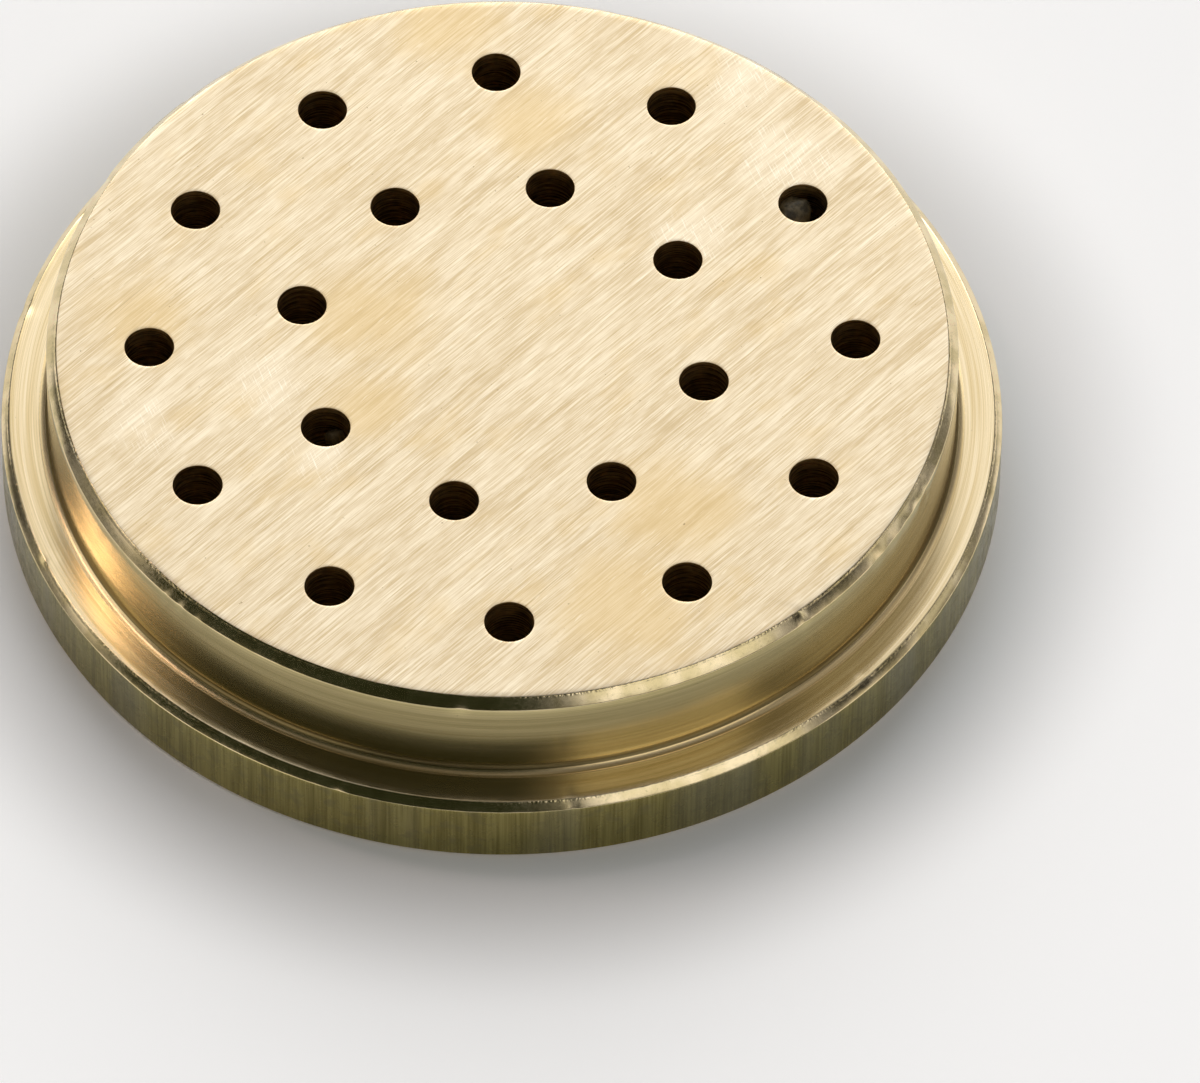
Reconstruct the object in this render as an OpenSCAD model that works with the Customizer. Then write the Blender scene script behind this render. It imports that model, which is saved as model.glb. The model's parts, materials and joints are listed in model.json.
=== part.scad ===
// Pasta extrusion die for a countertop extruder, turned as one piece from round bronze bar.
// The sanded outlet face is on top, and the inlet face lies on the plane z = 0.
// The bar's axis is the z axis, and the first orifice of the outer circle is on +x.
// All sizes are in millimetres and degrees.

/* [Flange] */
// Outside diameter of the flange, which is the drawn skin of the bar
flange_d = 57; // [55:0.5:64]
// Height of the flange, from the inlet face up to the shoulder
flange_h = 4.5; // [3:0.1:8]
// Chamfer on the upper edge of the flange, at 45 degrees
flange_chamfer = 0.45; // [0.1:0.05:0.8]
// Broken edge round the inlet face, at 45 degrees
inlet_edge = 0.2; // [0.05:0.05:0.6]

/* [Boss] */
// Diameter of the boss, which stands through the clamping ring
boss_d = 51.7; // [49:0.1:53]
// Height of the boss, from the shoulder up to the outlet face
boss_h = 6; // [3:0.1:12]
// Chamfer on the upper edge of the boss, at 45 degrees
boss_chamfer = 0.58; // [0.1:0.02:1.2]
// Radius that the nose of the turning tool leaves at the foot of the boss
foot_r = 0.5; // [0.2:0.05:0.8]
// Small step from the end of that radius down to the shoulder
foot_step = 0.05; // [0.02:0.01:0.2]

/* [Orifices] */
// Diameter of each orifice at the outlet face
orifice_d = 2.8; // [1.2:0.1:3.6]
// Straight length of each orifice behind the outlet face
land_h = 4; // [1:0.1:5]
// Number of orifices on the outer circle
outer_count = 12; // [4:1:16]
// Diameter of the outer circle of orifices
outer_pcd = 40; // [36:0.5:42]
// Number of orifices on the inner circle
inner_count = 8; // [3:1:10]
// Diameter of the inner circle of orifices
inner_pcd = 23.4; // [18:0.1:26]
// Turn of the inner circle against the outer one
inner_turn = 0.5; // [-15:0.1:15]

/* [Feed bores] */
// Diameter of the feed bore behind each orifice
feed_d = 5; // [4:0.1:5.6]
// Point angle of the drill, which leaves the cone at the end of each feed bore
feed_point = 118; // [90:1:140]

/* [Hidden] */

// Height of the outlet face above the inlet face
die_h = flange_h + boss_h;
// Height of the cone between a feed bore and its orifice
cone_h = (feed_d - orifice_d) / 2 / tan(feed_point / 2);
// Depth of the straight part of a feed bore
feed_h = die_h - land_h - cone_h;
// Length by which a drill runs past the face that it enters or leaves
drill_run = 1;
// Colour of the pale bronze
bronze = [0.83, 0.71, 0.49];

$fn = 128;

// Half section of the flange, with a chamfered shoulder edge and a broken inlet edge
module flange_section() {
    r = flange_d / 2;
    polygon([
        [0, 0],
        [r - inlet_edge, 0],
        [r, inlet_edge],
        [r, flange_h - flange_chamfer],
        [r - flange_chamfer, flange_h],
        [0, flange_h]
    ]);
}

// Half section of the boss, from the inlet face up to its chamfered outlet edge
module boss_section() {
    r = boss_d / 2;
    polygon([
        [0, 0],
        [r, 0],
        [r, die_h - boss_chamfer],
        [r - boss_chamfer, die_h],
        [0, die_h]
    ]);
}

// Half section of the ring at the foot of the boss: a low step with a hollow corner on it
module foot_section() {
    translate([boss_d / 2, flange_h])
        difference() {
            square([foot_r, foot_step + foot_r]);
            translate([foot_r, foot_step + foot_r]) circle(r = foot_r);
        }
}

// The blank as it leaves the lathe
module turned_blank() {
    rotate_extrude() {
        flange_section();
        boss_section();
        foot_section();
    }
}

// What the drills take out for one orifice: the feed bore, its cone and the straight land
module orifice_cut() {
    rotate_extrude()
        polygon([
            [0, -drill_run],
            [feed_d / 2, -drill_run],
            [feed_d / 2, feed_h],
            [orifice_d / 2, feed_h + cone_h],
            [orifice_d / 2, die_h + drill_run],
            [0, die_h + drill_run]
        ]);
}

// One circle of orifices
module orifice_circle(count, pcd, turn = 0) {
    for (i = [0 : count - 1])
        rotate(turn + i * 360 / count)
            translate([pcd / 2, 0, 0])
                orifice_cut();
}

module pasta_die() {
    color(bronze)
        difference() {
            turned_blank();
            orifice_circle(outer_count, outer_pcd);
            orifice_circle(inner_count, inner_pcd, inner_turn);
        }
}

pasta_die();
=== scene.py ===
# %% [markdown]
# # Dressing a bronze pasta die
# A pasta die is the disc at the end of an extruder: dough is pressed through its holes and leaves
# them as strands. This one was turned from a round bar and drilled, so it is one piece of metal.
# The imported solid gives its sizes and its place. A picture could use that solid as it is, but its
# edges are perfectly sharp and every surface is alike. So this lesson works out the same form again
# with numpy, with worn edges, and gives each machined surface the finish that its tool left.

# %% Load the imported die
import json
import math

import bmesh
import bpy
import numpy as np
from mathutils import Matrix, Vector


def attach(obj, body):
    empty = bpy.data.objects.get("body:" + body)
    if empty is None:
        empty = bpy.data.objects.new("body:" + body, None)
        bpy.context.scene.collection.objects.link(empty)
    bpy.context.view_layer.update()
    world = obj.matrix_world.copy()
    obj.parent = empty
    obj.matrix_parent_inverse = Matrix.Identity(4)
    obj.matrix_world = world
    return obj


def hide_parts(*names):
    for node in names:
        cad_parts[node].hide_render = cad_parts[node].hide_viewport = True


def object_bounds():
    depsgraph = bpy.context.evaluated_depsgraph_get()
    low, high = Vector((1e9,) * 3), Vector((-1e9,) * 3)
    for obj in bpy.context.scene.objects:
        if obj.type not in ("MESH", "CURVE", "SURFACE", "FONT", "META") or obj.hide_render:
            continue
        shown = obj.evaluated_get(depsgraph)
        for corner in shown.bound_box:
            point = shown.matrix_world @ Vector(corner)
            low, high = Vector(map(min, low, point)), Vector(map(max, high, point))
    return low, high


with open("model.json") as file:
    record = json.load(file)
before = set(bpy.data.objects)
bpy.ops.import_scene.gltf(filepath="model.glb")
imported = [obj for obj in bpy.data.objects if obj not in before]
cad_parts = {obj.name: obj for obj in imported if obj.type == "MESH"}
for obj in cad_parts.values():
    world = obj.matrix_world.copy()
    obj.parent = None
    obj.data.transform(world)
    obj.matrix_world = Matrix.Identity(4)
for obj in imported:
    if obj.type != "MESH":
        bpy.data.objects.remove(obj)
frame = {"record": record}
cad_box = [list(corner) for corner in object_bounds()]
print("packed die, lowest and highest corner in metres:", cad_box)

# %% [markdown]
# ## Sizes
# The mounts in the record hold the sizes that matter to other parts: the flange, the boss, the
# shoulder and every orifice. They are read from there, so that the dressed die follows the solid.
# The small edges and the feed bores have no mount, so their sizes are repeated here, in millimetres.

# %% Sizes in millimetres
MM = 0.001
mounts = {mount["name"]: mount for mount in frame["record"]["mounts"]}
orifices = [mount for mount in mounts.values() if mount["kind"] == "bore"]
DIE_H = (cad_box[1][2] - cad_box[0][2]) / MM
FLANGE_R = mounts["flange_rim"]["dims"]["r_mm"]
BOSS_R = mounts["boss_spigot"]["dims"]["r_mm"]
SHOULDER_Z = mounts["clamping_shoulder"]["pos_m"][2] / MM
ORIFICE_R = orifices[0]["dims"]["r_mm"]
LAND_H = orifices[0]["dims"]["length_mm"]
FLANGE_CHAMFER = 0.45
BOSS_CHAMFER = 0.58
INLET_EDGE = 0.2
FOOT_R = 0.5
FOOT_STEP = 0.05
FEED_R = 2.5
FEED_POINT = math.radians(118)
FEED_H = DIE_H - LAND_H - (FEED_R - ORIFICE_R) / math.tan(FEED_POINT / 2)

centres = np.array([mount["pos_m"][:2] for mount in orifices]) / MM
reach = np.hypot(centres[:, 0], centres[:, 1])
SPLIT_R = (reach.min() + reach.max()) / 2
outer_circle = centres[reach > SPLIT_R]
inner_circle = centres[reach < SPLIT_R]
print(f"die {2 * FLANGE_R} mm across and {DIE_H:.2f} mm high,", len(outer_circle), "outer and",
      len(inner_circle), "inner orifices")

# %% [markdown]
# ## The camera
# The photograph was taken with a long lens from above the front of the die. The values below come
# from fitting a pinhole camera to the orifices, whose places on the face are known. The camera aims
# at a point on the table, to the front right of the die's axis, so the picture needs no lens shift.

# %% Camera
# Width of the photograph and focal length in its pixels
PHOTO_W = 1200
FOCAL_PX = 15397.6
SENSOR = 36.0
CAMERA_TURN = math.radians(-32.02)
CAMERA_RISE = math.radians(51.795)
CAMERA_ROLL = math.radians(0.934)
CAMERA_FAR = 0.8764
NEAREST_SEEN = 0.05
AIM = Vector((1.697, -8.033, 0.0)) * MM

camera_data = bpy.data.cameras.new("camera")
camera_data.sensor_width = SENSOR
camera_data.lens = FOCAL_PX * SENSOR / PHOTO_W
camera_data.clip_start = NEAREST_SEEN
camera = bpy.data.objects.new("camera", camera_data)
bpy.context.scene.collection.objects.link(camera)
turned = Matrix.Rotation(CAMERA_TURN, 4, "Z") @ Matrix.Rotation(math.pi / 2 - CAMERA_RISE, 4, "X")
away = turned @ Vector((0.0, 0.0, CAMERA_FAR))
camera.matrix_world = Matrix.Translation(AIM + away) @ turned @ Matrix.Rotation(CAMERA_ROLL, 4, "Z")
bpy.context.scene.camera = camera
print(f"camera with a {camera_data.lens:.0f} mm lens, {CAMERA_FAR} m from where it aims")

# %% [markdown]
# ## Grids
# Every surface here is a grid: a function of two parameters, worked out as one array of points.
# A helper turns the grid's rows and columns into four-cornered faces. Grids that meet share the
# same points along the seam, so merging doubles at the end makes one closed skin.

# %% Grid helpers
ZONES = ["sanded", "edge", "wall", "corner", "foot", "shoulder", "drawn", "drilled", "faced"]
parts = []


def grid_faces(rows, columns):
    """Four-cornered faces of a grid that is closed along its columns, as numbers of its points."""
    row = np.arange(rows - 1)[:, None] * columns
    here = row + np.arange(columns)
    after = row + np.roll(np.arange(columns), -1)
    return np.stack([here, after, after + columns, here + columns], -1).reshape(-1, 4)


def keep_grid(points, zones):
    """Stores grids of shape (copies, rows, columns, 3), with one finish for each band between rows."""
    copies, rows, columns = points.shape[:3]
    step = np.arange(copies)[:, None, None] * rows * columns
    faces = grid_faces(rows, columns) + step
    finish = np.tile(np.repeat([ZONES.index(zone) for zone in zones], columns), copies)
    parts.append((points.reshape(-1, 3), faces.reshape(-1, 4), finish))
    print("grid of", copies, "x", rows, "x", columns, "points")


# %% [markdown]
# ## The outside
# The lathe cut the outside, so it is a half section carried round the axis. The section's corners
# are eased a little, because no turned edge is sharp to the last micrometre, and a true edge has to
# catch a thin line of light. The row of points is the first parameter, the angle is the second.

# %% Half section of the outside
EASE = 0.02
# Largest share of a side that an ease takes, then how many eases from the corner the points lie
# that hold the flats, and the largest share of a side for them
EASE_MOST = 0.3
HOLD_REACH = 3
HOLD_MOST = 0.45
ROW_STEP = 0.7
ROW_GAP = 0.004
FOOT_ROWS = 9
# Width of the flat ring that the outside takes of each face
FACE_RING = 0.4
OUTLET_RING_R = BOSS_R - BOSS_CHAMFER - FACE_RING
INLET_RING_R = FLANGE_R - INLET_EDGE - FACE_RING


def eased(points, ease):
    """Replaces each inner corner by a small parabola that starts and ends `ease` before and after it.
    One more point on either side keeps the flats flat when they are shaded smooth."""
    before, corner, after = points[:-2], points[1:-1], points[2:]
    into = before - corner
    out = after - corner
    into_share = ease / np.linalg.norm(into, axis=1, keepdims=True)
    out_share = ease / np.linalg.norm(out, axis=1, keepdims=True)
    start = corner + into * np.minimum(into_share, EASE_MOST)
    end = corner + out * np.minimum(out_share, EASE_MOST)
    middle = (start + 2 * corner + end) / 4
    hold_in = corner + into * np.minimum(HOLD_REACH * into_share, HOLD_MOST)
    hold_out = corner + out * np.minimum(HOLD_REACH * out_share, HOLD_MOST)
    curved = np.stack([hold_in, start, middle, end, hold_out], 1).reshape(-1, 2)
    return np.concatenate([points[:1], curved, points[-1:]])


foot_outer = BOSS_R + FOOT_R
foot_top = SHOULDER_Z + FOOT_STEP + FOOT_R
low_section = eased(np.array([
    (INLET_RING_R, 0.0),
    (FLANGE_R - INLET_EDGE, 0.0),
    (FLANGE_R, INLET_EDGE),
    (FLANGE_R, SHOULDER_Z - FLANGE_CHAMFER),
    (FLANGE_R - FLANGE_CHAMFER, SHOULDER_Z),
    (foot_outer, SHOULDER_Z),
    (foot_outer, SHOULDER_Z + FOOT_STEP),
]), EASE)
sweep = np.radians(np.linspace(270, 180, FOOT_ROWS))
foot_section = np.stack([foot_outer + FOOT_R * np.cos(sweep), foot_top + FOOT_R * np.sin(sweep)], 1)
high_section = eased(np.array([
    (BOSS_R, foot_top),
    (BOSS_R, DIE_H - BOSS_CHAMFER),
    (BOSS_R - BOSS_CHAMFER, DIE_H),
    (OUTLET_RING_R, DIE_H),
]), EASE)
section = np.concatenate([low_section[:-1], foot_section, high_section[1:]])
run = np.concatenate([[0.0], np.cumsum(np.linalg.norm(np.diff(section, axis=0), axis=1))])
rows = np.sort(np.concatenate([run, np.arange(ROW_STEP, run[-1], ROW_STEP)]))
rows = rows[np.concatenate([[True], np.diff(rows) > ROW_GAP])]
section = np.stack([np.interp(rows, run, section[:, 0]), np.interp(rows, run, section[:, 1])], 1)
print("half section with", len(section), "points over", round(float(run[-1]), 1), "mm")

# %% [markdown]
# ## Wear on the edges
# The chamfers were cut by a tool that chattered, and the die has knocked against other metal, so its
# edges wander by two or three hundredths of a millimetre and carry small nicks. All of it moves points
# inwards, because wear takes metal away. A nick could be cut with a boolean, but a bell-shaped hollow
# in the grid itself is simpler and leaves a clean mesh. The nicks that can be seen sit where the
# photograph has them, by their bearing from the picture's right, and the far side gets its share too.

# %% Edges that wander
AROUND = 720
# How often the slow wander goes round at least, and the quick one at least and at most
SLOW_LEAST = 3
QUICK_LEAST = 60
QUICK_MOST = 300
# How far below the boss's edge two knocks hit the wall
WALL_KNOCK_DROP = 0.7
SEED = 11
angle = np.radians(np.arange(AROUND) * 360 / AROUND)
rng = np.random.default_rng(SEED)


def wander(least, most, size):
    """A closed random line round the die: a sum of cosines that go round `least` to `most` times,
    of random phase and slowly falling size, scaled so that it runs from 0 to `size`."""
    count = np.arange(least, most)[:, None]
    line = (np.cos(count * angle + rng.uniform(0, 2 * np.pi, count.shape)) / count ** 0.3).sum(0)
    return size * (line - line.min()) / np.ptp(line)


def worn(corner, span, depth):
    """How far each point moves: a bell of the distance from the corner, `span` mm wide, times a depth
    for each angle. All rows go along the line that halves the corner, so they never cross."""
    r, z, lean = corner
    bell = np.exp(-(np.hypot(section[:, 0] - r, section[:, 1] - z) / span) ** 2)
    inward = np.array([-math.cos(math.radians(lean)), -math.sin(math.radians(lean))])
    return bell[:, None, None] * depth[:, None] * inward


# Radius, height, and the rise in degrees of the line that halves the corner
face_rim = (BOSS_R - BOSS_CHAMFER, DIE_H, 67.5)
boss_edge = (BOSS_R, DIE_H - BOSS_CHAMFER, 22.5)
shoulder_rim = (FLANGE_R - FLANGE_CHAMFER, SHOULDER_Z, 67.5)
flange_edge = (FLANGE_R, SHOULDER_Z - FLANGE_CHAMFER, 22.5)
under_edge = (BOSS_R, DIE_H - BOSS_CHAMFER - WALL_KNOCK_DROP, 0.0)

# Corner, span in mm, how often the slow wander goes round at most, slow and quick size in mm
WANDERS = [
    (face_rim, 0.04, 40, 0.012, 0.009),
    (boss_edge, 0.05, 30, 0.020, 0.006),
    (shoulder_rim, 0.04, 40, 0.012, 0.009),
    (flange_edge, 0.05, 30, 0.015, 0.006),
]
wear = np.zeros((len(section), AROUND, 2))
for corner, span, slow_most, slow, quick in WANDERS:
    depth = wander(SLOW_LEAST, slow_most, slow) + wander(QUICK_LEAST, QUICK_MOST, quick)
    wear += worn(corner, span, depth)
print("deepest wander in mm:", round(float(np.linalg.norm(wear, axis=-1).max()), 3))

# %% Knocks
# Corner, bearing in degrees, width along the edge, height across it and depth in mm
SEEN_KNOCKS = [
    (boss_edge, 224.0, 0.13, 0.14, 0.045), (boss_edge, 226.6, 0.15, 0.14, 0.05),
    (boss_edge, 229.5, 0.13, 0.12, 0.035), (boss_edge, 265.8, 0.45, 0.12, 0.05),
    (boss_edge, 311.8, 0.22, 0.25, 0.055), (face_rim, 311.6, 0.20, 0.15, 0.045),
    (boss_edge, 325.5, 0.50, 0.20, 0.05), (boss_edge, 329.0, 0.70, 0.22, 0.06),
    (boss_edge, 332.5, 0.60, 0.20, 0.05), (boss_edge, 335.5, 0.50, 0.18, 0.05),
    (under_edge, 337.4, 0.55, 0.45, 0.09), (under_edge, 338.6, 0.35, 0.80, 0.06),
    (shoulder_rim, 278.6, 0.20, 0.12, 0.03), (shoulder_rim, 204.0, 0.40, 0.15, 0.05),
    (shoulder_rim, 317.2, 0.25, 0.15, 0.05), (flange_edge, 279.0, 0.20, 0.12, 0.04),
    (flange_edge, 252.0, 0.35, 0.12, 0.04),
]
# How many knocks the far side gets, and the least and the most of what is drawn for each
FAR_COUNT = 18
FAR_BEARINGS = (5, 175)
FAR_WIDTHS = (0.25, 0.6)
FAR_DEPTHS = (0.03, 0.07)
FAR_HIGH = 0.16


def knock(corner, bearing, wide, high, depth):
    """A hollow round one place of the section: a bell `wide` mm along the edge and `high` mm across."""
    off = angle - math.radians(bearing) - CAMERA_TURN
    arc = corner[0] * np.arctan2(np.sin(off), np.cos(off))
    return worn(corner, high, depth * np.exp(-(arc / wide) ** 2))


edges = [boss_edge, shoulder_rim, flange_edge]
picks = rng.integers(0, len(edges), FAR_COUNT)
bearings = rng.uniform(*FAR_BEARINGS, FAR_COUNT)
widths = rng.uniform(*FAR_WIDTHS, FAR_COUNT)
depths = rng.uniform(*FAR_DEPTHS, FAR_COUNT)
far_knocks = [(edges[pick], bearing, wide, FAR_HIGH, depth)
              for pick, bearing, wide, depth in zip(picks, bearings, widths, depths)]
for one_knock in SEEN_KNOCKS + far_knocks:
    wear += knock(*one_knock)
wear[[0, -1]] = 0.0  # the seams to the two faces stay where they are
deepest = np.linalg.norm(wear, axis=-1).max()
print("deepest wear in mm:", round(float(deepest), 3), "knocks:", len(SEEN_KNOCKS + far_knocks))

# %% [markdown]
# ## Carrying the section round
# Each point of the section becomes a circle round the axis, with the wear of every angle added. The
# band between two circles belongs to the tool that cut it, and its radius and height tell which one
# that was. Radius and height add up to the same sum all over a chamfer of 45 degrees, so that sum
# finds the chamfers.

# %% Skin of the outside
SLACK = 0.01
FACE_SLACK = 0.005
# Upper share of the foot's radius that is darkened with painted shade
SHADED_SHARE = 0.7
skin_r, skin_z = np.moveaxis(section[:, None] + wear, -1, 0)
skin = np.stack([skin_r * np.cos(angle), skin_r * np.sin(angle), skin_z], -1)

mid_r, mid_z = (section[1:] + section[:-1]).T / 2
climb = mid_r + mid_z
on_boss_edge = (climb > boss_edge[0] + boss_edge[1] - SLACK) & (mid_z > foot_top)
on_flange_edge = (climb > flange_edge[0] + flange_edge[1] - SLACK) & (mid_z < foot_top)
on_foot = (mid_r < foot_outer + SLACK) & (mid_z < foot_top)
# The upper part of the foot is the corner, which gets painted shade
in_shaded_corner = on_foot & (mid_z > foot_top - SHADED_SHARE * FOOT_R)
# The first test that holds names the band
band = np.select(
    [mid_z > DIE_H - FACE_SLACK, on_boss_edge | on_flange_edge, mid_z < INLET_EDGE,
     mid_r > FLANGE_R - SLACK, in_shaded_corner, on_foot, mid_z > foot_top],
    ["sanded", "edge", "faced", "drawn", "corner", "foot", "wall"], "shoulder")
keep_grid(skin[None], band)

# %% [markdown]
# ## Orifices
# Each orifice is a drilled hole with a short straight land and a wider feed bore behind it. To join
# round holes to a round face, the face is cut into sectors with one hole in each. The grid runs from
# the sector's outline to the rim, down the hole and out to the sector's outline on the other face.

# %% Outline of a sector
SIDE_STEPS = 8
# Arcs that bound the sectors: radius in mm, and points on the whole circle
CENTRE_ARC = (7.0, 120)
SPLIT_ARC = (SPLIT_R, 360)
OUTLET_ARC = (OUTLET_RING_R, AROUND)
INLET_ARC = (INLET_RING_R, AROUND)


def sector_outline(count, inner_arc, outer_arc):
    """Closed outline of one of `count` ring sectors, about +X: along the outer arc, in along a side,
    back along the inner arc and out along the other side. Radius and angle give x and y."""
    half = math.pi / count
    inside, inside_points = inner_arc
    outside, outside_points = outer_arc
    go = np.linspace(-half, half, outside_points // count + 1)
    back = np.linspace(half, -half, inside_points // count + 1)
    side = np.linspace(outside, inside, SIDE_STEPS + 1)[1:-1]
    radius = np.concatenate([np.full(len(go), outside), side, np.full(len(back), inside), side[::-1]])
    turn = np.concatenate([go, np.full(len(side), half), back, np.full(len(side), -half)])
    return np.stack([radius * np.cos(turn), radius * np.sin(turn)], 1)


# %% Section of a hole
RIM_EASE = 0.02
BEND_ROWS = 4
LAND_ROWS = 7


def hole_section():
    """Radius and height down a hole: eased outlet rim, land, drill cone, feed bore, eased inlet rim."""
    bend = np.linspace(0, np.pi / 2, BEND_ROWS)
    rim_r = ORIFICE_R + RIM_EASE * (1 - np.sin(bend))
    rim_z = DIE_H - RIM_EASE * (1 - np.cos(bend))
    land_z = np.linspace(DIE_H - RIM_EASE, DIE_H - LAND_H, LAND_ROWS)[1:]
    foot_r = FEED_R + RIM_EASE * (1 - np.cos(bend))
    foot_z = RIM_EASE * (1 - np.sin(bend))
    r = np.concatenate([rim_r, np.full(len(land_z), ORIFICE_R), [FEED_R, FEED_R], foot_r])
    z = np.concatenate([rim_z, land_z, [FEED_H, FEED_H / 2], foot_z])
    return r, z


# %% Sectors with a hole
# Where the rows between a rim and its outline lie, as shares of the way out
RIM_SHARES = np.array([1.0, 0.6, 0.25, 0.04])[:, None, None]


def holed_sectors(circle, inner_arc, outlet_arc, inlet_arc):
    """One grid per hole of a circle. Each point's direction from the hole's axis is the second
    parameter, so the outline shrinks straight onto the rim and follows the wall down."""
    outline_top = sector_outline(len(circle), inner_arc, outlet_arc)
    outline_low = sector_outline(len(circle), inner_arc, inlet_arc)
    ring_r = np.hypot(*circle[0])
    hub = np.array([ring_r, 0.0])
    look = np.arctan2(outline_top[:, 1], outline_top[:, 0] - ring_r)
    ray = np.stack([np.cos(look), np.sin(look)], 1)
    r, z = hole_section()
    wall = np.concatenate([hub + r[:, None, None] * ray,
                           np.broadcast_to(z[:, None, None], (len(z), len(look), 1))], -1)
    top = wall[0, :, :2] * (1 - RIM_SHARES) + outline_top * RIM_SHARES
    low = wall[-1, :, :2] * (1 - RIM_SHARES) + outline_low * RIM_SHARES
    top = np.concatenate([top, np.full(top.shape[:2] + (1,), DIE_H)], -1)
    low = np.concatenate([low, np.zeros(low.shape[:2] + (1,))], -1)
    one = np.concatenate([top, wall, low[::-1]])
    turn = np.arctan2(circle[:, 1], circle[:, 0])[:, None, None]
    x, y = one[..., 0], one[..., 1]
    spun = np.stack([x * np.cos(turn) - y * np.sin(turn), x * np.sin(turn) + y * np.cos(turn),
                     np.broadcast_to(one[..., 2], (len(circle),) + x.shape)], -1)
    zones = ["sanded"] * len(top) + ["drilled"] * (len(wall) - 1) + ["faced"] * len(low)
    keep_grid(spun, zones)


holed_sectors(outer_circle, SPLIT_ARC, OUTLET_ARC, INLET_ARC)
holed_sectors(inner_circle, CENTRE_ARC, SPLIT_ARC, SPLIT_ARC)

# %% [markdown]
# The middle of each face has no hole. It is a flat polar grid whose last row shrinks to the axis,
# where merging doubles turns the last band into a closed fan.

# %% Middle of the two faces
MIDDLE_SHARES = np.array([1.0, 0.6, 0.25, 0.0])[:, None]
centre_r, spoke_count = CENTRE_ARC
first_turn = math.atan2(inner_circle[0, 1], inner_circle[0, 0])
spokes = first_turn - math.pi / len(inner_circle) + np.arange(spoke_count) * 2 * math.pi / spoke_count
middle_r = centre_r * MIDDLE_SHARES
flat = np.stack([middle_r * np.cos(spokes), middle_r * np.sin(spokes)], -1)
for height, zone in ((DIE_H, "sanded"), (0.0, "faced")):
    disc = np.concatenate([flat, np.full(flat.shape[:2] + (1,), height)], -1)
    keep_grid(disc[None], [zone] * (len(disc) - 1))

# %% [markdown]
# ## One closed skin
# All the grids go into one mesh. Merging doubles joins the seams, the faces are turned outwards, and
# edges that bend by more than a set angle stay crisp. The volume is printed as a test: it has to be
# positive and close to the solid's.

# %% Weld the grids
SHARP = math.radians(40)
MERGE = 0.0005


def weld(name, points, faces, finish):
    """Makes an object from points in mm and faces, merges doubles and turns the faces outwards."""
    mesh = bpy.data.meshes.new(name)
    mesh.from_pydata(points * MM, [], faces.tolist())
    mesh.polygons.foreach_set("material_index", finish.astype(np.int32))
    work = bmesh.new()
    work.from_mesh(mesh)
    bmesh.ops.remove_doubles(work, verts=work.verts, dist=MERGE * MM)
    bmesh.ops.recalc_face_normals(work, faces=work.faces)
    open_edges = sum(not edge.is_manifold for edge in work.edges)
    volume = work.calc_volume(signed=True)
    work.to_mesh(mesh)
    work.free()
    mesh.shade_smooth()
    mesh.set_sharp_from_angle(angle=SHARP)
    piece = bpy.data.objects.new(name, mesh)
    bpy.context.scene.collection.objects.link(piece)
    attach(piece, "root")
    mesh.calc_loop_triangles()
    print(name, "open edges:", open_edges, "volume in cubic mm:", round(volume / MM ** 3, 3),
          "triangles:", len(mesh.loop_triangles))
    return piece


first_points = np.cumsum([0] + [len(part[0]) for part in parts[:-1]])
die = weld("bronze_die", np.concatenate([part[0] for part in parts]),
           np.concatenate([part[1] + first for part, first in zip(parts, first_points)]),
           np.concatenate([part[2] for part in parts]))
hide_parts("pasta_die")

# %% [markdown]
# ## Dried dough
# Two of the orifices still hold a scrap of dried dough that clings to the wall. A scrap is a lumpy egg:
# a sphere by polar angle and bearing, stretched, with a few waves on it. Where it would leave the hole
# it is pressed flat against the wall.

# %% Scraps in two orifices
SCRAP_ROWS = 40
SCRAP_COLUMNS = 56
WALL_GAP = 0.01
# Waves round a scrap, waves down it, and their size as a share of its radius
LUMPS = [(1, 1, 0.12), (2, 2, 0.10), (3, 1, 0.06), (5, 3, 0.04), (7, 5, 0.025)]


def scrap(name, orifice, middle, radii):
    """A lumpy egg in one orifice; its middle is in mm to the picture's right, away from the camera and
    up from the face."""
    polar, turn = np.meshgrid(np.linspace(0, np.pi, SCRAP_ROWS),
                              np.arange(SCRAP_COLUMNS) * 2 * np.pi / SCRAP_COLUMNS, indexing="ij")
    swell = np.ones(polar.shape)
    for around, down, size in LUMPS:
        shift = rng.uniform(0, 2 * np.pi)
        swell += size * np.sin(polar) * np.cos(around * turn + shift) * np.cos(down * polar + shift)
    right = middle[0] + radii[0] * swell * np.sin(polar) * np.cos(turn)
    away = middle[1] + radii[1] * swell * np.sin(polar) * np.sin(turn)
    up = middle[2] + radii[2] * swell * np.cos(polar)
    squeeze = np.minimum(1, (ORIFICE_R - WALL_GAP) / np.hypot(right, away))
    right = right * squeeze
    away = away * squeeze
    x = right * math.cos(CAMERA_TURN) - away * math.sin(CAMERA_TURN)
    y = right * math.sin(CAMERA_TURN) + away * math.cos(CAMERA_TURN)
    hole = np.array(mounts[orifice]["pos_m"][:2]) / MM
    points = np.stack([x + hole[0], y + hole[1], up + DIE_H], -1).reshape(-1, 3)
    faces = grid_faces(SCRAP_ROWS, SCRAP_COLUMNS)
    return weld(name, points, faces, np.zeros(len(faces)))


scraps = [
    scrap("dough_scrap_outer", "outer_orifice_01", (-0.60, 0.30, -1.50), (1.15, 1.30, 1.00)),
    scrap("dough_scrap_inner", "inner_orifice_05", (0.50, 0.80, -2.00), (0.60, 0.50, 0.60)),
]

# %% [markdown]
# ## Finishes
# All of the die is the same bronze, but each tool left its own surface. The materials are built from
# nodes on Object coordinates, so a pattern stays where the tool made it. A few helpers keep the node
# code short: they add a node and link its inputs, do sums, blend colours, shape a value into a step,
# lay noise along a direction, and turn a height into a bump.

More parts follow.
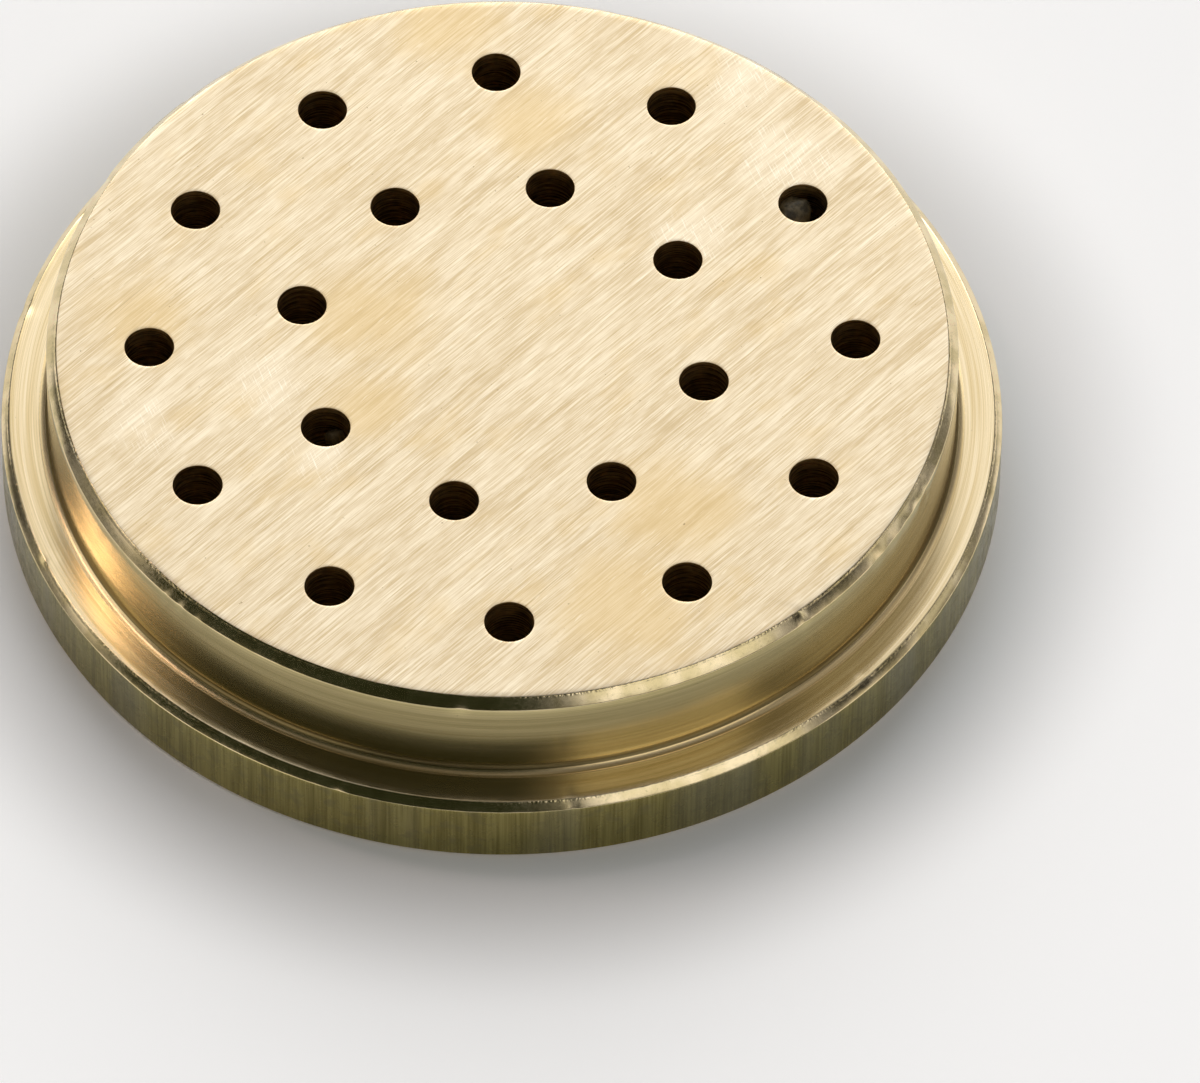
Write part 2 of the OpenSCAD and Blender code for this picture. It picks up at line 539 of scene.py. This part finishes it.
# %% Nodes and sums
def add(tree, kind, inputs=None, **settings):
    """Adds a shader node, sets its options, and fills its inputs with values or with other sockets."""
    node = tree.nodes.new("ShaderNode" + kind)
    for name, value in settings.items():
        setattr(node, name, value)
    for name, value in (inputs or {}).items():
        if isinstance(value, bpy.types.NodeSocket):
            tree.links.new(value, node.inputs[name])
        else:
            node.inputs[name].default_value = value
    return node


def calc(tree, operation, *values):
    """One step of arithmetic on numbers or sockets."""
    return add(tree, "Math", dict(enumerate(values)), operation=operation).outputs[0]


def weighted(tree, *shares):
    """Adds up values, each times its share."""
    total = calc(tree, "MULTIPLY", *shares[0])
    for value, share in shares[1:]:
        total = calc(tree, "ADD", total, calc(tree, "MULTIPLY", value, share))
    return total


def highest(tree, masks):
    """The highest of several masks at each place."""
    top = masks[0]
    for mask in masks[1:]:
        top = calc(tree, "MAXIMUM", top, mask)
    return top


# %% Colours, steps, noise and bumps
def blend(tree, factor, low, high):
    """Blends two colours by a factor."""
    return add(tree, "Mix", {0: factor, 6: low, 7: high}, data_type="RGBA").outputs[2]


def tinted(tree, colour, mask, share, tint):
    """Lays a tint over a colour where a mask is high, at most by the given share."""
    return blend(tree, calc(tree, "MULTIPLY", mask, share), colour, tint)


def ramp(tree, value, low, high, start=0.0, end=1.0):
    """Turns a value into a smooth step from `start` at `low` to `end` at `high`."""
    node = add(tree, "MapRange", {0: value, 1: low, 2: high, 3: start, 4: end},
               interpolation_type="SMOOTHSTEP")
    return node.outputs[0]


def noise(tree, place, size, turn=0.0, detail=2.0):
    """Noise whose grains have the given size in mm along x, y and z, turned about z."""
    laid = add(tree, "Mapping", {"Vector": place, "Rotation": (0.0, 0.0, turn),
                                 "Scale": [side * MM for side in size]}, vector_type="TEXTURE")
    grains = add(tree, "TexNoise", {"Vector": laid.outputs[0], "Scale": 1.0, "Detail": detail})
    return grains.outputs[0]


def bumped(tree, height, deep):
    """Leans the surface by the slope of a height, whose unit stands for `deep` mm."""
    bump = add(tree, "Bump", {"Height": height, "Distance": deep * MM, "Strength": 1.0})
    return bump.outputs[0]


# %% Start and end of a finish
finishes = {}


def start_finish(name, stretch, metallic=1.0):
    """A surface with a constant stretch of its highlights; gives the material, its nodes and places."""
    material = bpy.data.materials.new(name)
    material.use_nodes = True
    tree = material.node_tree
    shader = tree.nodes["Principled BSDF"]
    shader.inputs["Metallic"].default_value = metallic
    shader.inputs["Anisotropic"].default_value = stretch
    place = add(tree, "TexCoord").outputs["Object"]
    return material, tree, shader, place


def use(tree, shader, **sockets):
    """Links sockets to the shader's inputs by name."""
    for name, socket in sockets.items():
        tree.links.new(socket, shader.inputs[name.replace("_", " ")])


def keep_finish(zone, material):
    """Stores the finish of a zone until the die gets its materials."""
    finishes[zone] = material
    print(material.name, "with", len(material.node_tree.nodes), "nodes")


# %% [markdown]
# ## The sanded face
# The outlet face was rubbed flat on a sheet of abrasive, so all its scratches run one way. Stretched
# noise gives scratches of three widths, with faint mottling between them. They change the colour a
# little, and the middle ones lift the surface in a bump so that light breaks across them. The highlight
# is stretched at right angles to the grain, as it is on any brushed metal. Use has left marks on top:
# brownish stains, single dark scratches, bright flecks, spots rubbed pale across the grain, and specks.

# %% Marks on the sanded face
GRAIN = math.radians(15)
CROSS_GRAIN = GRAIN + math.radians(65)
SANDED_DULL = (0.585, 0.45, 0.262, 1)
SANDED_BRIGHT = (0.815, 0.71, 0.53, 1)
STAIN_TINT = (0.66, 0.48, 0.225, 1)
SCRATCH_TINT = (0.42, 0.29, 0.13, 1)
FLECK_TINT = (0.93, 0.85, 0.69, 1)
RUB_TINT = (0.95, 0.86, 0.69, 1)
RUB_LINE_TINT = (0.98, 0.93, 0.82, 1)
FACE_SPECK_TINT = (0.25, 0.17, 0.08, 1)
# A spot fades between these shares of its radius
FADE_FROM = 0.7
FADE_TO = 1.6
# Places in mm to the picture's right and away from the camera, and radius in mm
STAINS = [(-7.5, 2.0, 5.0), (-7.7, -4.5, 3.5), (10.0, -12.0, 5.0), (7.0, -19.0, 5.5), (1.5, 16.5, 4.0),
          (-20.5, 1.5, 4.0), (-3.5, 23.5, 4.0)]
RUBS = [(-20.0, -6.5, 2.5), (-10.5, -8.5, 2.5), (10.5, 8.0, 3.0), (16.0, 14.0, 3.5), (-13.5, -3.5, 3.0),
        (13.5, 20.0, 3.0)]


def spots(tree, place, rounds, edge):
    """Soft round masks on the face, one for each place and radius, broken up by the noise in `edge`."""
    masks = []
    for right, up, size in rounds:
        centre = Matrix.Rotation(CAMERA_TURN, 3, "Z") @ Vector((right, up, DIE_H)) * MM
        far = add(tree, "VectorMath", {0: place, 1: centre}, operation="DISTANCE").outputs["Value"]
        far = calc(tree, "ADD", far, calc(tree, "MULTIPLY", edge, size * MM))
        masks.append(ramp(tree, far, FADE_TO * size * MM, FADE_FROM * size * MM))
    return masks


# %% Finish of the sanded face
def sanded_finish():
    """Colour and roughness follow a sum of noises stretched along the grain, and each kind of mark is
    a mask that lays its own tint over that colour."""
    material, tree, shader, place = start_finish("sanded_bronze", 0.6)
    across = (-math.sin(GRAIN), math.cos(GRAIN), 0.0)
    tangent = add(tree, "CombineXYZ", dict(enumerate(across)))
    fine = noise(tree, place, (2.4, 0.06, 3), GRAIN, 1.0)
    medium = noise(tree, place, (4, 0.13, 4), GRAIN + 0.02, 1.0)
    coarse = noise(tree, place, (9, 1.3, 9), GRAIN - 0.02)
    cloud = noise(tree, place, (4, 2.5, 4), GRAIN, 3.0)
    mottle = noise(tree, place, (0.9, 0.55, 0.9), GRAIN, 4.0)
    grain = weighted(tree, (fine, 0.5), (medium, 0.17), (mottle, 0.13), (coarse, 0.2))
    colour = blend(tree, ramp(tree, grain, 0.32, 0.68), SANDED_DULL, SANDED_BRIGHT)

    stain = calc(tree, "MULTIPLY", ramp(tree, cloud, 0.52, 0.75), 0.6)
    stain = highest(tree, [stain] + spots(tree, place, STAINS, cloud))
    colour = tinted(tree, colour, stain, 0.55, STAIN_TINT)
    scratch = ramp(tree, noise(tree, place, (8, 0.065, 8), GRAIN + 0.03, 1.0), 0.62, 0.76)
    strength = ramp(tree, cloud, 0.4, 0.6, 0.15, 0.6)
    colour = tinted(tree, colour, scratch, strength, SCRATCH_TINT)
    fleck = ramp(tree, noise(tree, place, (1.3, 0.11, 2), GRAIN + 0.06, 1.0), 0.66, 0.78)
    colour = tinted(tree, colour, fleck, 0.35, FLECK_TINT)
    rub = highest(tree, spots(tree, place, RUBS, cloud))
    colour = tinted(tree, colour, rub, 0.25, RUB_TINT)
    lines = ramp(tree, noise(tree, place, (1.0, 0.07, 2), CROSS_GRAIN, 1.0), 0.58, 0.72)
    colour = tinted(tree, colour, calc(tree, "MULTIPLY", rub, lines), 0.5, RUB_LINE_TINT)
    specks = ramp(tree, noise(tree, place, (0.22, 0.22, 0.22), 0.0, 1.0), 0.77, 0.83)
    colour = tinted(tree, colour, specks, 0.6, FACE_SPECK_TINT)

    use(tree, shader, Base_Color=colour, Roughness=ramp(tree, grain, 0.3, 0.7, 0.46, 0.38),
        Normal=bumped(tree, medium, 0.003), Tangent=tangent.outputs[0])
    return material


keep_finish("sanded", sanded_finish())

# %% [markdown]
# ## Turned surfaces
# A lathe tool leaves fine grooves round the axis. On the wall of the boss they lie one above the
# other, and on the shoulder one inside the other. The sum of radius and height grows across both, so
# one noise that is very short in that sum and long round the die draws the grooves on both. The wall,
# the corner below it, the foot and the shoulder share this finish and differ in colour and gloss. The
# darker colours of the wall and the corner are painted shade, standing for dark reflections.

# %% Directions of turned grooves
ALONG_CIRCLES = 0.0
ACROSS_CIRCLES = 0.25


def groove_places(tree, place):
    """Places for turned grooves: x and y as they are, and radius plus height instead of z."""
    x, y, z = add(tree, "SeparateXYZ", {0: place}).outputs
    flat_place = add(tree, "CombineXYZ", {0: x, 1: y}).outputs[0]
    radius = add(tree, "VectorMath", {0: flat_place}, operation="LENGTH").outputs["Value"]
    return add(tree, "CombineXYZ", {0: x, 1: y, 2: calc(tree, "ADD", radius, z)}).outputs[0]


def round_axis(tree, shader, turn):
    """Lets the highlight stretch along circles round the axis, or across them with a quarter turn."""
    tangent = add(tree, "Tangent", direction_type="RADIAL", axis="Z")
    shader.inputs["Anisotropic Rotation"].default_value = turn
    use(tree, shader, Tangent=tangent.outputs[0])


# %% Turned wall, corner, foot and shoulder
TURNED_SPECK_TINT = (0.12, 0.09, 0.05, 1)


def turned_finish(name, dull, bright, rough):
    """Bronze with grooves between two colours; the grooves blur its mirror image up and down."""
    material, tree, shader, place = start_finish(name, 0.75)
    round_axis(tree, shader, ACROSS_CIRCLES)
    shader.inputs["Roughness"].default_value = rough
    groove = groove_places(tree, place)
    fine = noise(tree, groove, (9, 9, 0.07), 0.0, 1.0)
    wide = noise(tree, groove, (16, 16, 0.35))
    marks = weighted(tree, (fine, 0.5), (wide, 0.5))
    colour = blend(tree, ramp(tree, marks, 0.32, 0.68), dull, bright)
    specks = ramp(tree, noise(tree, place, (0.16, 0.16, 0.25), 0.0, 1.0), 0.77, 0.83)
    colour = tinted(tree, colour, specks, 0.7, TURNED_SPECK_TINT)
    use(tree, shader, Base_Color=colour, Normal=bumped(tree, wide, 0.003))
    return material


def shaded_wall_finish():
    """The wall of the boss is a little darker: painted shade that stands for dark reflections."""
    return turned_finish("wall_bronze", (0.47, 0.39, 0.18, 1), (0.62, 0.52, 0.27, 1), 0.18)


def shaded_corner_finish():
    """Painted shade darkens the corner between the wall and its foot."""
    return turned_finish("corner_bronze", (0.17, 0.125, 0.052, 1), (0.37, 0.285, 0.125, 1), 0.3)


def foot_finish():
    """The foot below the corner is clean and bright."""
    return turned_finish("foot_bronze", (0.72, 0.53, 0.26, 1), (0.98, 0.78, 0.45, 1), 0.26)


def shoulder_finish():
    """The clamping ring keeps the shoulder bright."""
    return turned_finish("shoulder_bronze", (0.74, 0.57, 0.30, 1), (0.97, 0.81, 0.54, 1), 0.18)


keep_finish("wall", shaded_wall_finish())
keep_finish("corner", shaded_corner_finish())
keep_finish("foot", foot_finish())
keep_finish("shoulder", shoulder_finish())

# %% [markdown]
# ## Chamfers
# The edges were broken with one pass of the tool, which chattered. They are brighter and smoother than
# the rest, with ragged marks that run round the edge and small torn spots. The upper rim of each chamfer
# keeps a fine burr. It is too small for the grid, so it is a stronger bump near the rim's height.

# %% Cut edges
# How far from a rim's height the burr reaches, the share of that with the full burr, and its lift
BURR_H = 0.16
BURR_FULL = 0.2
BURR_LIFT = 5.0
EDGE_DULL = (0.69, 0.56, 0.295, 1)
EDGE_BRIGHT = (0.91, 0.745, 0.46, 1)
TORN_TINT = (0.30, 0.25, 0.11, 1)


def edge_finish():
    """Two colours by a noise that is dragged round the axis, and torn spots from a round noise. The
    bump is that drag, plus grains within BURR_H of the height of a rim."""
    material, tree, shader, place = start_finish("edge_bronze", 0.4)
    round_axis(tree, shader, ACROSS_CIRCLES)
    drag = noise(tree, groove_places(tree, place), (1.8, 1.8, 0.09))
    torn = noise(tree, place, (0.2, 0.2, 0.14))
    height = add(tree, "SeparateXYZ", {0: place}).outputs[2]
    near_rims = []
    for rim in (DIE_H, SHOULDER_Z):
        below = calc(tree, "ABSOLUTE", calc(tree, "SUBTRACT", height, rim * MM))
        near_rims.append(ramp(tree, below, BURR_H * MM, BURR_FULL * BURR_H * MM))
    grains = noise(tree, place, (0.16, 0.16, 0.16), 0.0, 1.0)
    burr = calc(tree, "MULTIPLY", highest(tree, near_rims), grains)
    lift = calc(tree, "MULTIPLY_ADD", burr, BURR_LIFT, drag)
    colour = blend(tree, ramp(tree, drag, 0.35, 0.65), EDGE_DULL, EDGE_BRIGHT)
    colour = tinted(tree, colour, ramp(tree, torn, 0.64, 0.76), 0.3, TORN_TINT)
    use(tree, shader, Base_Color=colour, Roughness=ramp(tree, torn, 0.3, 0.7, 0.14, 0.20),
        Normal=bumped(tree, lift, 0.004))
    return material


keep_finish("edge", edge_finish())

# %% [markdown]
# ## The skin of the bar
# The rim of the flange was never cut: it is the skin of the drawn bar. It has lines along the axis
# from the drawing die, and it has darkened to olive with patches of grey. Its darkness is partly that
# tarnish and partly painted shade, which stands for dark reflections.

# %% Drawn rim
# Olive tarnish, made darker still with painted shade that stands for dark reflections
DRAWN_TARNISH_AND_SHADE_DULL = (0.215, 0.180, 0.056, 1)
DRAWN_TARNISH_AND_SHADE_BRIGHT = (0.39, 0.335, 0.120, 1)
GREY_TINT = (0.30, 0.28, 0.195, 1)
DARK_TINT = (0.17, 0.155, 0.095, 1)


def drawn_finish():
    """Lines are noise that is thin round the rim and long up it; a broad noise lays grey over them and
    a small one dark patches."""
    material, tree, shader, place = start_finish("drawn_bronze", 0.4)
    round_axis(tree, shader, ALONG_CIRCLES)
    thin = noise(tree, place, (0.12, 0.12, 5), 0.0, 1.0)
    wide = noise(tree, place, (0.7, 0.7, 9))
    broad = noise(tree, place, (5, 5, 30))
    patch = noise(tree, place, (0.8, 0.8, 0.7), 0.0, 3.0)
    lines = weighted(tree, (thin, 0.5), (wide, 0.5))
    colour = blend(tree, ramp(tree, lines, 0.3, 0.7), DRAWN_TARNISH_AND_SHADE_DULL, DRAWN_TARNISH_AND_SHADE_BRIGHT)
    colour = tinted(tree, colour, ramp(tree, broad, 0.45, 0.65), 0.5, GREY_TINT)
    colour = tinted(tree, colour, ramp(tree, patch, 0.5, 0.75), 0.35, DARK_TINT)
    use(tree, shader, Base_Color=colour, Roughness=ramp(tree, patch, 0.3, 0.7, 0.2, 0.32),
        Normal=bumped(tree, wide, 0.004))
    return material


keep_finish("drawn", drawn_finish())

# %% [markdown]
# ## Drilled holes and the inlet side
# A drill leaves rings inside a hole, and the holes are brown from use. The inlet side was only faced
# on the lathe, so it has coarser grooves round the axis than the shoulder.

# %% Bores and inlet face
DRILLED_DULL = (0.44, 0.285, 0.118, 1)
DRILLED_BRIGHT = (0.92, 0.70, 0.36, 1)
BROWN_TINT = (0.30, 0.18, 0.07, 1)
FACED_DULL = (0.64, 0.51, 0.31, 1)
FACED_BRIGHT = (0.84, 0.70, 0.47, 1)
FACED_STAIN_TINT = (0.56, 0.45, 0.26, 1)


def drilled_finish():
    """Rings are noise that is short along the axis of the hole, with brown clouds over them."""
    material, tree, shader, place = start_finish("drilled_bronze", 0.0)
    rings = noise(tree, place, (1.5, 1.5, 0.11), 0.0, 1.0)
    cloud = noise(tree, place, (0.8, 0.8, 0.8), 0.0, 3.0)
    colour = blend(tree, ramp(tree, rings, 0.35, 0.65), DRILLED_DULL, DRILLED_BRIGHT)
    colour = tinted(tree, colour, ramp(tree, cloud, 0.5, 0.7), 0.4, BROWN_TINT)
    use(tree, shader, Base_Color=colour, Roughness=ramp(tree, cloud, 0.3, 0.7, 0.28, 0.42),
        Normal=bumped(tree, rings, 0.012))
    return material


def faced_finish():
    """Grooves of the tool's feed round the axis, with large faint stains over them."""
    material, tree, shader, place = start_finish("faced_bronze", 0.7)
    round_axis(tree, shader, ACROSS_CIRCLES)
    feed = noise(tree, groove_places(tree, place), (25, 25, 0.18))
    cloud = noise(tree, place, (5, 5, 5), 0.0, 4.0)
    colour = blend(tree, ramp(tree, feed, 0.32, 0.68), FACED_DULL, FACED_BRIGHT)
    colour = tinted(tree, colour, ramp(tree, cloud, 0.5, 0.75), 0.4, FACED_STAIN_TINT)
    use(tree, shader, Base_Color=colour, Roughness=ramp(tree, cloud, 0.3, 0.7, 0.26, 0.36),
        Normal=bumped(tree, feed, 0.012))
    return material


keep_finish("drilled", drilled_finish())
keep_finish("faced", faced_finish())

# %% [markdown]
# Dried dough is no metal: it is a dull crust, dark brown with dust from the machine, and rough.

# %% Dried dough
CRUST_DARK = (0.032, 0.024, 0.009, 1)
CRUST_PALE = (0.115, 0.09, 0.045, 1)


def dough_finish():
    """Crust is a round noise between two colours, and a much finer grit roughens it."""
    material, tree, shader, place = start_finish("dried_dough", 0.0, metallic=0.0)
    crust = noise(tree, place, (0.35, 0.35, 0.5), 0.0, 4.0)
    grit = noise(tree, place, (0.09, 0.09, 0.09), 0.0, 2.0)
    colour = blend(tree, ramp(tree, crust, 0.35, 0.65), CRUST_DARK, CRUST_PALE)
    lift = calc(tree, "ADD", crust, calc(tree, "MULTIPLY", grit, 0.3))
    use(tree, shader, Base_Color=colour, Roughness=ramp(tree, grit, 0.3, 0.7, 0.5, 0.75),
        Normal=bumped(tree, lift, 0.05))
    return material


dough = dough_finish()
print(dough.name, "with", len(dough.node_tree.nodes), "nodes")

# %% [markdown]
# ## Putting the finishes on
# A mesh can hold several materials, and each of its faces names one by number. The faces got their
# numbers with the grids, so the materials only have to be put on in the order of the zones.

# %% Give each surface its finish
for zone in ZONES:
    die.data.materials.append(finishes[zone])
for piece in scraps:
    piece.data.materials.append(dough)
print("finishes on the die:", len(die.data.materials))

# %% [markdown]
# ## Table
# The die lies on a plain pale table. A white that is only lit looks grey in a picture like this, so
# the table also glows a little, but only for rays that come from the camera or from a shiny or clear
# surface. Such a glow makes the table pale and puts no more light on the die.

# %% Table
TABLE_HALF = 4.0
TABLE_DROP = 0.02
TABLE_WHITE = (0.95, 0.95, 0.95, 1.0)
TABLE_LIFT = 0.35
# Glow close to the die, how far inside the rim it starts in mm, and radius of the full glow in mm
NEAR_LIFT = 0.04
NEAR_STEP = 0.3
PALE_R = 40.0


def pale_table():
    """A dull white that keeps the die's shadow. Its glow rises in two smooth steps of the distance from
    the die's axis, and there is none under the die, so the bores stay dark."""
    material = bpy.data.materials.new("pale_table")
    material.use_nodes = True
    tree = material.node_tree
    paint = tree.nodes["Principled BSDF"]
    paint.inputs["Base Color"].default_value = TABLE_WHITE
    paint.inputs["Roughness"].default_value = 0.9
    paint.inputs["Specular IOR Level"].default_value = 0.0
    paint.inputs["Emission Color"].default_value = (1.0, 1.0, 1.0, 1.0)
    path = add(tree, "LightPath").outputs
    seen = highest(tree, [path["Is Camera Ray"], path["Is Glossy Ray"], path["Is Transmission Ray"]])
    place = add(tree, "TexCoord").outputs["Object"]
    far = add(tree, "VectorMath", {0: place}, operation="LENGTH").outputs["Value"]
    near_lift = ramp(tree, far, (FLANGE_R - NEAR_STEP) * MM, FLANGE_R * MM, 0.0, NEAR_LIFT)
    far_lift = ramp(tree, far, FLANGE_R * MM, PALE_R * MM, 0.0, TABLE_LIFT - NEAR_LIFT)
    lift = calc(tree, "ADD", far_lift, near_lift)
    use(tree, paint, Emission_Strength=calc(tree, "MULTIPLY", seen, lift))
    return material


table_mesh = bpy.data.meshes.new("table")
table_mesh.from_pydata([(-TABLE_HALF, -TABLE_HALF, 0), (TABLE_HALF, -TABLE_HALF, 0),
                        (TABLE_HALF, TABLE_HALF, 0), (-TABLE_HALF, TABLE_HALF, 0)], [], [(0, 1, 2, 3)])
table_mesh.transform(Matrix.Translation((0, 0, -TABLE_DROP * MM)))
table_mesh.materials.append(pale_table())
table = bpy.data.objects.new("table", table_mesh)
bpy.context.scene.collection.objects.link(table)
print("table", 2 * TABLE_HALF, "m wide")

# %% [markdown]
# ## Light
# Metal shows what surrounds it, so the light comes from soft panels far away, drawn in the world by
# bearing and rise. Lamps could light the die too, but the world is so far away that a panel in it
# gives the same soft reflection all over the die. Bearings count from the picture's right,
# counter-clockwise, so 90 degrees is behind the die and 270 degrees is where the camera stands.
# Three of the panels are black cloths: they take light away, so their glow is negative.

# %% Studio
AMBIENT = (0.19, 0.19, 0.19)
WHITE = (1.0, 1.0, 1.0)
WARM = (1.0, 0.80, 0.73)
SOFT = (1.0, 0.94, 0.84)
GREEN = (1.0, 0.97, 1.05)
# Bearing, rise, half the width, half the height and softness of the edge in degrees, glow, tint
PANELS = {
    "back_low": (90, 24, 28, 18, 6, 3.2, WHITE),
    "back_high": (90, 56, 27, 14, 5, 0.8, WHITE),
    "key": (147.5, 53, 6.5, 10, 2, 5.3, WARM),
    "high_right": (28, 54, 34, 10, 6, 0.28, WHITE),
    "front_right": (311, 36, 22, 15, 4, 0.95, WHITE),
    "right": (8, 17, 8, 8, 4, 0.5, WHITE),
    "low_right": (347, 8.5, 13, 6.5, 4, 0.75, SOFT),
    "left": (173, 29, 12, 11, 5, 0.95, SOFT),
    "low_left": (212, 5, 28, 8, 4, 0.8, SOFT),
    "left_cloth": (150, 8, 13, 12, 5, -0.17, WHITE),
    "right_cloth": (350, 28, 10, 7, 4, -0.17, WHITE),
    "front_cloth": (232, 40, 50, 28, 6, -0.17, GREEN),
}


def studio_world():
    """Adds up soft-edged panels: each is a smooth step of the bearing times one of the rise, times its
    glow and tint."""
    world = bpy.data.worlds.new("studio")
    world.use_nodes = True
    tree = world.node_tree
    aim = add(tree, "SeparateXYZ", {0: add(tree, "TexCoord").outputs["Generated"]})
    bearing_of = calc(tree, "ARCTAN2", aim.outputs[1], aim.outputs[0])
    rise_of = calc(tree, "ARCSINE", aim.outputs[2])
    total = AMBIENT
    for bearing, rise, wide, high, soft, glow, tint in PANELS.values():
        turn = calc(tree, "SUBTRACT", bearing_of, math.radians(bearing) + CAMERA_TURN)
        turn = calc(tree, "ABSOLUTE", calc(tree, "WRAP", turn, math.pi, -math.pi))
        lift = calc(tree, "ABSOLUTE", calc(tree, "SUBTRACT", rise_of, math.radians(rise)))
        side = ramp(tree, turn, math.radians(wide + soft), math.radians(wide - soft))
        level = ramp(tree, lift, math.radians(high + soft), math.radians(high - soft))
        panel = calc(tree, "MULTIPLY", calc(tree, "MULTIPLY", side, level), glow)
        lit = add(tree, "VectorMath", {0: panel, 1: tint, 2: total}, operation="MULTIPLY_ADD")
        total = lit.outputs[0]
    tree.links.new(total, tree.nodes["Background"].inputs["Color"])
    return world


bpy.context.scene.world = studio_world()
bpy.context.scene.view_settings.view_transform = "Standard"
print("studio with", len(PANELS), "panels")
